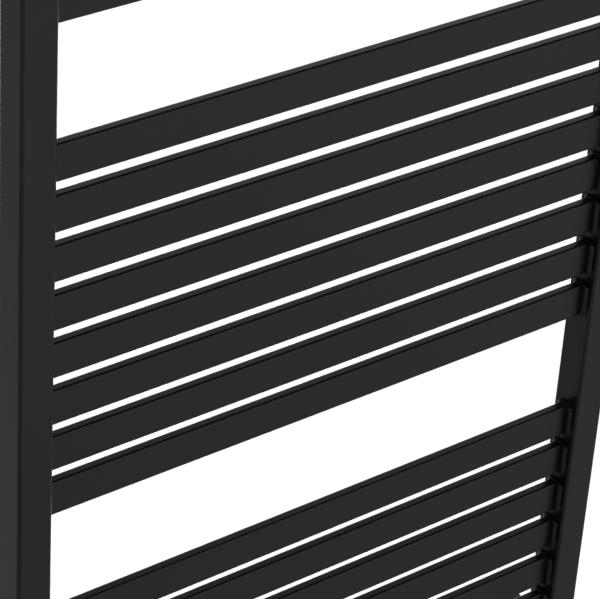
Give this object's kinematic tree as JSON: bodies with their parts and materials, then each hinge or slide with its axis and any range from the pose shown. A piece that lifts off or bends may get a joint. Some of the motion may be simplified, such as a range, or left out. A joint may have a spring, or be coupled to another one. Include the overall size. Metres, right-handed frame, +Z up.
{
  "type": "towel warmer rack",
  "caption": "Wall-hung ladder towel warmer: two square hollow posts joined by flat upright bars in three groups with open towel gaps, on adjustable wall brackets.",
  "frame": {"origin": "centre of the rectangle of the four wall fixings, in the wall plane", "axes": "+X to the right seen from the front, +Y into the wall, +Z up"},
  "size_m": [0.614, 0.08, 1.213],
  "materials": {
    "powder_coat": "satin black powder coat on steel tube",
    "bracket_coat": "satin black powder coat",
    "black_steel": "blackened steel screw",
    "black_nickel": "black nickel plating",
    "outlet_plastic": "black moulded plastic",
    "bare_brass": "turned brass",
    "seal_rubber": "flat rubber seal"
  },
  "bodies": {
    "wall_brackets": {"lower_left_wall_foot": "bracket_coat", "upper_left_wall_foot": "bracket_coat", "lower_right_wall_foot": "bracket_coat", "upper_right_wall_foot": "bracket_coat"},
    "radiator": {"left_post": "powder_coat", "right_post": "powder_coat", "upper_bar_01": "powder_coat", "upper_bar_02": "powder_coat", "upper_bar_03": "powder_coat", "upper_bar_04": "powder_coat", "upper_bar_05": "powder_coat", "upper_bar_06": "powder_coat", "middle_bar_01": "powder_coat", "middle_bar_02": "powder_coat", "middle_bar_03": "powder_coat", "middle_bar_04": "powder_coat", "middle_bar_05": "powder_coat", "middle_bar_06": "powder_coat", "middle_bar_07": "powder_coat", "middle_bar_08": "powder_coat", "lower_bar_01": "powder_coat", "lower_bar_02": "powder_coat", "lower_bar_03": "powder_coat", "lower_bar_04": "powder_coat", "lower_bar_05": "powder_coat", "lower_bar_06": "powder_coat", "lower_bar_07": "powder_coat", "lower_bar_08": "powder_coat", "lower_bar_09": "powder_coat", "lower_bar_10": "powder_coat", "lower_left_end_block": "powder_coat", "upper_left_end_block": "powder_coat", "lower_right_end_block": "powder_coat", "upper_right_end_block": "powder_coat", "lower_left_stem": "bracket_coat", "upper_left_stem": "bracket_coat", "lower_right_stem": "bracket_coat", "upper_right_stem": "bracket_coat", "vent_seal": "seal_rubber", "vent_body": "black_nickel", "plug_seal": "seal_rubber", "blind_plug": "black_nickel"},
    "vent_outlet": {"vent_outlet_ring": "outlet_plastic"},
    "bleed_screw": {"bleed_screw": "bare_brass"},
    "lower_left_rosette": {"lower_left_rosette": "bracket_coat"},
    "lower_left_lock_screw": {"lower_left_lock_screw": "black_steel"},
    "upper_left_rosette": {"upper_left_rosette": "bracket_coat"},
    "upper_left_lock_screw": {"upper_left_lock_screw": "black_steel"},
    "lower_right_rosette": {"lower_right_rosette": "bracket_coat"},
    "lower_right_lock_screw": {"lower_right_lock_screw": "black_steel"},
    "upper_right_rosette": {"upper_right_rosette": "bracket_coat"},
    "upper_right_lock_screw": {"upper_right_lock_screw": "black_steel"}
  },
  "joints": [
    {"name": "wall_distance", "type": "slide", "parent": "wall_brackets", "child": "radiator", "axis": [0, 1, 0], "range_m": [-0.01, 0.005]},
    {"name": "lower_left_rosette_slide", "type": "slide", "parent": "wall_brackets", "child": "lower_left_rosette", "axis": [0, 1, 0], "range_m": [-0.013, 0]},
    {"name": "lower_left_lock_screw_turn", "type": "hinge", "parent": "wall_brackets", "child": "lower_left_lock_screw", "pos_m": [-0.285, -0.025, -0.45], "axis": [0, 0, -1], "range_deg": [0, 720]},
    {"name": "upper_left_rosette_slide", "type": "slide", "parent": "wall_brackets", "child": "upper_left_rosette", "axis": [0, 1, 0], "range_m": [-0.013, 0]},
    {"name": "upper_left_lock_screw_turn", "type": "hinge", "parent": "wall_brackets", "child": "upper_left_lock_screw", "pos_m": [-0.285, -0.025, 0.45], "axis": [0, 0, -1], "range_deg": [0, 720]},
    {"name": "lower_right_rosette_slide", "type": "slide", "parent": "wall_brackets", "child": "lower_right_rosette", "axis": [0, 1, 0], "range_m": [-0.013, 0]},
    {"name": "lower_right_lock_screw_turn", "type": "hinge", "parent": "wall_brackets", "child": "lower_right_lock_screw", "pos_m": [0.285, -0.025, -0.45], "axis": [0, 0, -1], "range_deg": [0, 720]},
    {"name": "upper_right_rosette_slide", "type": "slide", "parent": "wall_brackets", "child": "upper_right_rosette", "axis": [0, 1, 0], "range_m": [-0.013, 0]},
    {"name": "upper_right_lock_screw_turn", "type": "hinge", "parent": "wall_brackets", "child": "upper_right_lock_screw", "pos_m": [0.285, -0.025, 0.45], "axis": [0, 0, -1], "range_deg": [0, 720]},
    {"name": "vent_outlet_swivel", "type": "hinge", "parent": "radiator", "child": "vent_outlet", "pos_m": [-0.285, -0.065, 0.6], "axis": [0, 0, 1], "continuous": true},
    {"name": "bleed_screw_turn", "type": "hinge", "parent": "radiator", "child": "bleed_screw", "pos_m": [-0.285, -0.065, 0.6], "axis": [0, 0, 1], "range_deg": [0, 540]}
  ]
}
